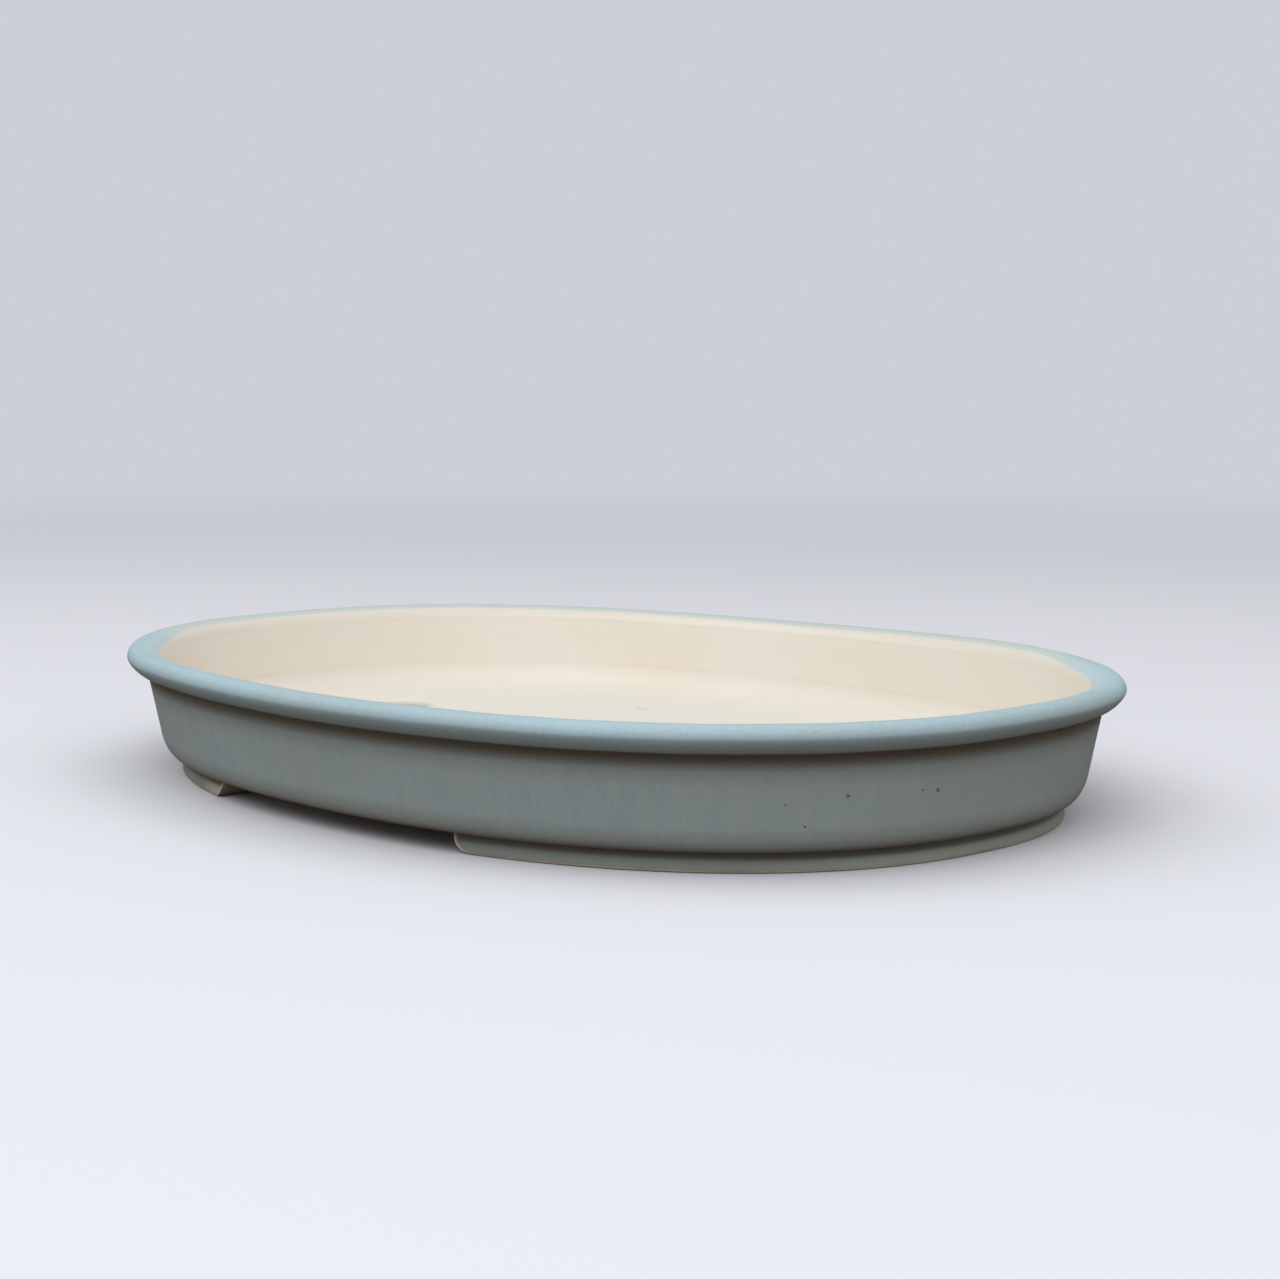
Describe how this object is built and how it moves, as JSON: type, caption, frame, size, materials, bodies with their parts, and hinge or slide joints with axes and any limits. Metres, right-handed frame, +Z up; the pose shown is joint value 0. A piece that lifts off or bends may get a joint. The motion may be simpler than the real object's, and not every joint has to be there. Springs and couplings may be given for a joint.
{
  "type": "bonsai pot",
  "caption": "Shallow oval bonsai pot in pale blue glazed stoneware, with a rounded lip, tapered wall, drain and wire holes in the floor, and a C-shaped foot round each end.",
  "frame": {"origin": "on the ground plane under the centre of the pot", "axes": "+X along the long axis, +Y along the short axis, +Z up"},
  "size_m": [0.41, 0.305, 0.0492],
  "materials": {
    "rim_glaze": "satin pale blue glaze with fine iron specks, ending in a soft edge over cream clay inside",
    "wall_glaze": "satin pale blue-grey glaze with faint vertical runs and iron specks outside, bare cream clay inside",
    "foot_glaze": "thin grey-blue glaze that breaks to beige clay along the ground edge",
    "bare_clay": "matt cream clay, unglazed, with faint mottling"
  },
  "bodies": {
    "root": {"floor_slab": "bare_clay", "wall_band": "wall_glaze", "rim_lip": "rim_glaze", "left_foot": "foot_glaze", "right_foot": "foot_glaze"}
  },
  "joints": []
}
